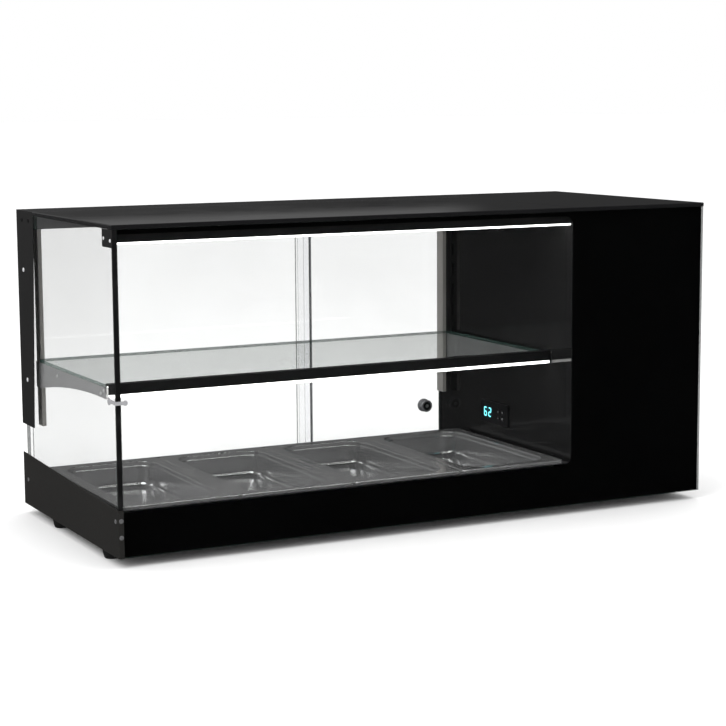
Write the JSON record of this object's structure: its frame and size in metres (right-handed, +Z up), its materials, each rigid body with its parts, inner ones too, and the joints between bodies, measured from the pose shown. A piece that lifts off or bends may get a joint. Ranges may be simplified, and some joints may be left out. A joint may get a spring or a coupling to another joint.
{
  "type": "hot food display case",
  "caption": "Countertop glazed hot food display case with lit glass shelf, lift-out pans, sliding rear doors and a closed service compartment.",
  "frame": {"origin": "centre of the footprint, at the underside of the feet", "axes": "+X to the right seen from the customer side, along the length; +Y from the front glass to the rear doors; +Z up"},
  "size_m": [0.9618, 0.4218, 0.464],
  "materials": {
    "black_steel": "satin black powder coat",
    "roof_black": "satin black coated lid",
    "gloss_black_wall": "polished black",
    "clear_glass": "clear toughened glass",
    "black_print": "black enamel print behind the glass",
    "black_seal": "black silicone",
    "chrome": "polished",
    "stainless": "brushed",
    "bracket_grey": "satin grey coat",
    "led_board": "white circuit board",
    "track_black": "black anodised",
    "edge_strip": "clear grey polycarbonate",
    "knob_metal": "turned, black inner disc",
    "well_grey": "dark grey coat",
    "heater_steel": "heat-tinted sheath",
    "pan_steel": "dark satin steel, bright edges",
    "rubber_black": "matte",
    "zinc_screw": "zinc plated",
    "black_screw": "blackened",
    "controller_plastic": "fine texture",
    "key_plastic": "moulded, white mark",
    "black_plastic": "moulded",
    "driver_white": "moulded",
    "terminal_grey": "moulded",
    "rocker_plastic": "moulded",
    "lead_rubber": "insulated lead",
    "led_diffuser": "opal, lit white",
    "digit_cyan": "lit figures"
  },
  "bodies": {
    "case": {"base_tray": "black_steel", "base_side_left": "black_steel", "base_rear_panel": "black_steel", "housing_side_right": "black_steel", "housing_rear_panel": "black_steel", "housing_top": "roof_black", "roof_panel": "roof_black", "rear_header": "black_steel", "inner_wall": "gloss_black_wall", "front_glass": "clear_glass", "front_print": "black_print", "side_glass": "clear_glass", "corner_seal": "black_seal", "glass_corner_clip": "chrome", "rear_post_left": "black_steel", "slotted_standard_left": "stainless", "slotted_standard_right": "stainless", "shelf_bracket_left": "bracket_grey", "shelf_bracket_right": "bracket_grey", "shelf_light_bar": "black_steel", "shelf_light_diffuser": "led_diffuser", "top_light_housing": "black_steel", "top_light_led_strip": "led_board", "top_light_diffuser": "led_diffuser", "top_light_end_bracket": "black_steel", "door_track_bottom": "track_black", "door_track_top": "track_black", "well_frame": "well_grey", "pan_divider_bars": "well_grey", "well_liner": "stainless", "heater_elements": "heater_steel", "heater_supports": "stainless", "temperature_probe": "stainless", "feet": "rubber_black", "foot_screws": "zinc_screw", "case_screws": "black_screw", "shelf_screws": "zinc_screw", "controller_body": "controller_plastic", "controller_digits": "digit_cyan", "fan_frame": "black_plastic", "led_driver": "driver_white", "terminal_block": "terminal_grey", "power_inlet": "black_plastic", "switch_housing": "black_plastic", "internal_leads": "lead_rubber"},
    "door_left": {"door_left_glass": "clear_glass", "door_left_edge": "edge_strip"},
    "door_right": {"door_right_glass": "clear_glass", "door_knob": "knob_metal"},
    "shelf": {"shelf_glass": "clear_glass"},
    "pan_1": {"pan_1": "pan_steel"},
    "pan_2": {"pan_2": "pan_steel"},
    "pan_3": {"pan_3": "pan_steel"},
    "pan_4": {"pan_4": "pan_steel"},
    "key_1": {"controller_key_1": "key_plastic"},
    "key_2": {"controller_key_2": "key_plastic"},
    "key_3": {"controller_key_3": "key_plastic"},
    "key_4": {"controller_key_4": "key_plastic"},
    "rocker": {"switch_rocker": "rocker_plastic"},
    "fan": {"fan_rotor": "black_plastic"}
  },
  "joints": [
    {"name": "door_left_slide", "type": "slide", "parent": "case", "child": "door_left", "axis": [1, 0, 0], "range_m": [0, 0.235]},
    {"name": "door_right_slide", "type": "slide", "parent": "case", "child": "door_right", "axis": [-1, 0, 0], "range_m": [0, 0.43]},
    {"name": "shelf_lift", "type": "slide", "parent": "case", "child": "shelf", "axis": [0, 0, 1], "range_m": [0, 0.15]},
    {"name": "pan_1_lift", "type": "slide", "parent": "case", "child": "pan_1", "axis": [0, 0, 1], "range_m": [0, 0.1]},
    {"name": "pan_2_lift", "type": "slide", "parent": "case", "child": "pan_2", "axis": [0, 0, 1], "range_m": [0, 0.1]},
    {"name": "pan_3_lift", "type": "slide", "parent": "case", "child": "pan_3", "axis": [0, 0, 1], "range_m": [0, 0.1]},
    {"name": "pan_4_lift", "type": "slide", "parent": "case", "child": "pan_4", "axis": [0, 0, 1], "range_m": [0, 0.1]},
    {"name": "key_1_press", "type": "slide", "parent": "case", "child": "key_1", "axis": [1, 0, 0], "range_m": [0, 0.0007], "stiffness_N_per_m": 600},
    {"name": "key_2_press", "type": "slide", "parent": "case", "child": "key_2", "axis": [1, 0, 0], "range_m": [0, 0.0007], "stiffness_N_per_m": 600},
    {"name": "key_3_press", "type": "slide", "parent": "case", "child": "key_3", "axis": [1, 0, 0], "range_m": [0, 0.0007], "stiffness_N_per_m": 600},
    {"name": "key_4_press", "type": "slide", "parent": "case", "child": "key_4", "axis": [1, 0, 0], "range_m": [0, 0.0007], "stiffness_N_per_m": 600},
    {"name": "rocker_tilt", "type": "hinge", "parent": "case", "child": "rocker", "pos_m": [0.425, 0.2029, 0.1395], "axis": [1, 0, 0], "range_deg": [0, 18]},
    {"name": "fan_spin", "type": "hinge", "parent": "case", "child": "fan", "pos_m": [0.3163, 0.1892, 0.376], "axis": [0, 1, 0], "continuous": true}
  ]
}
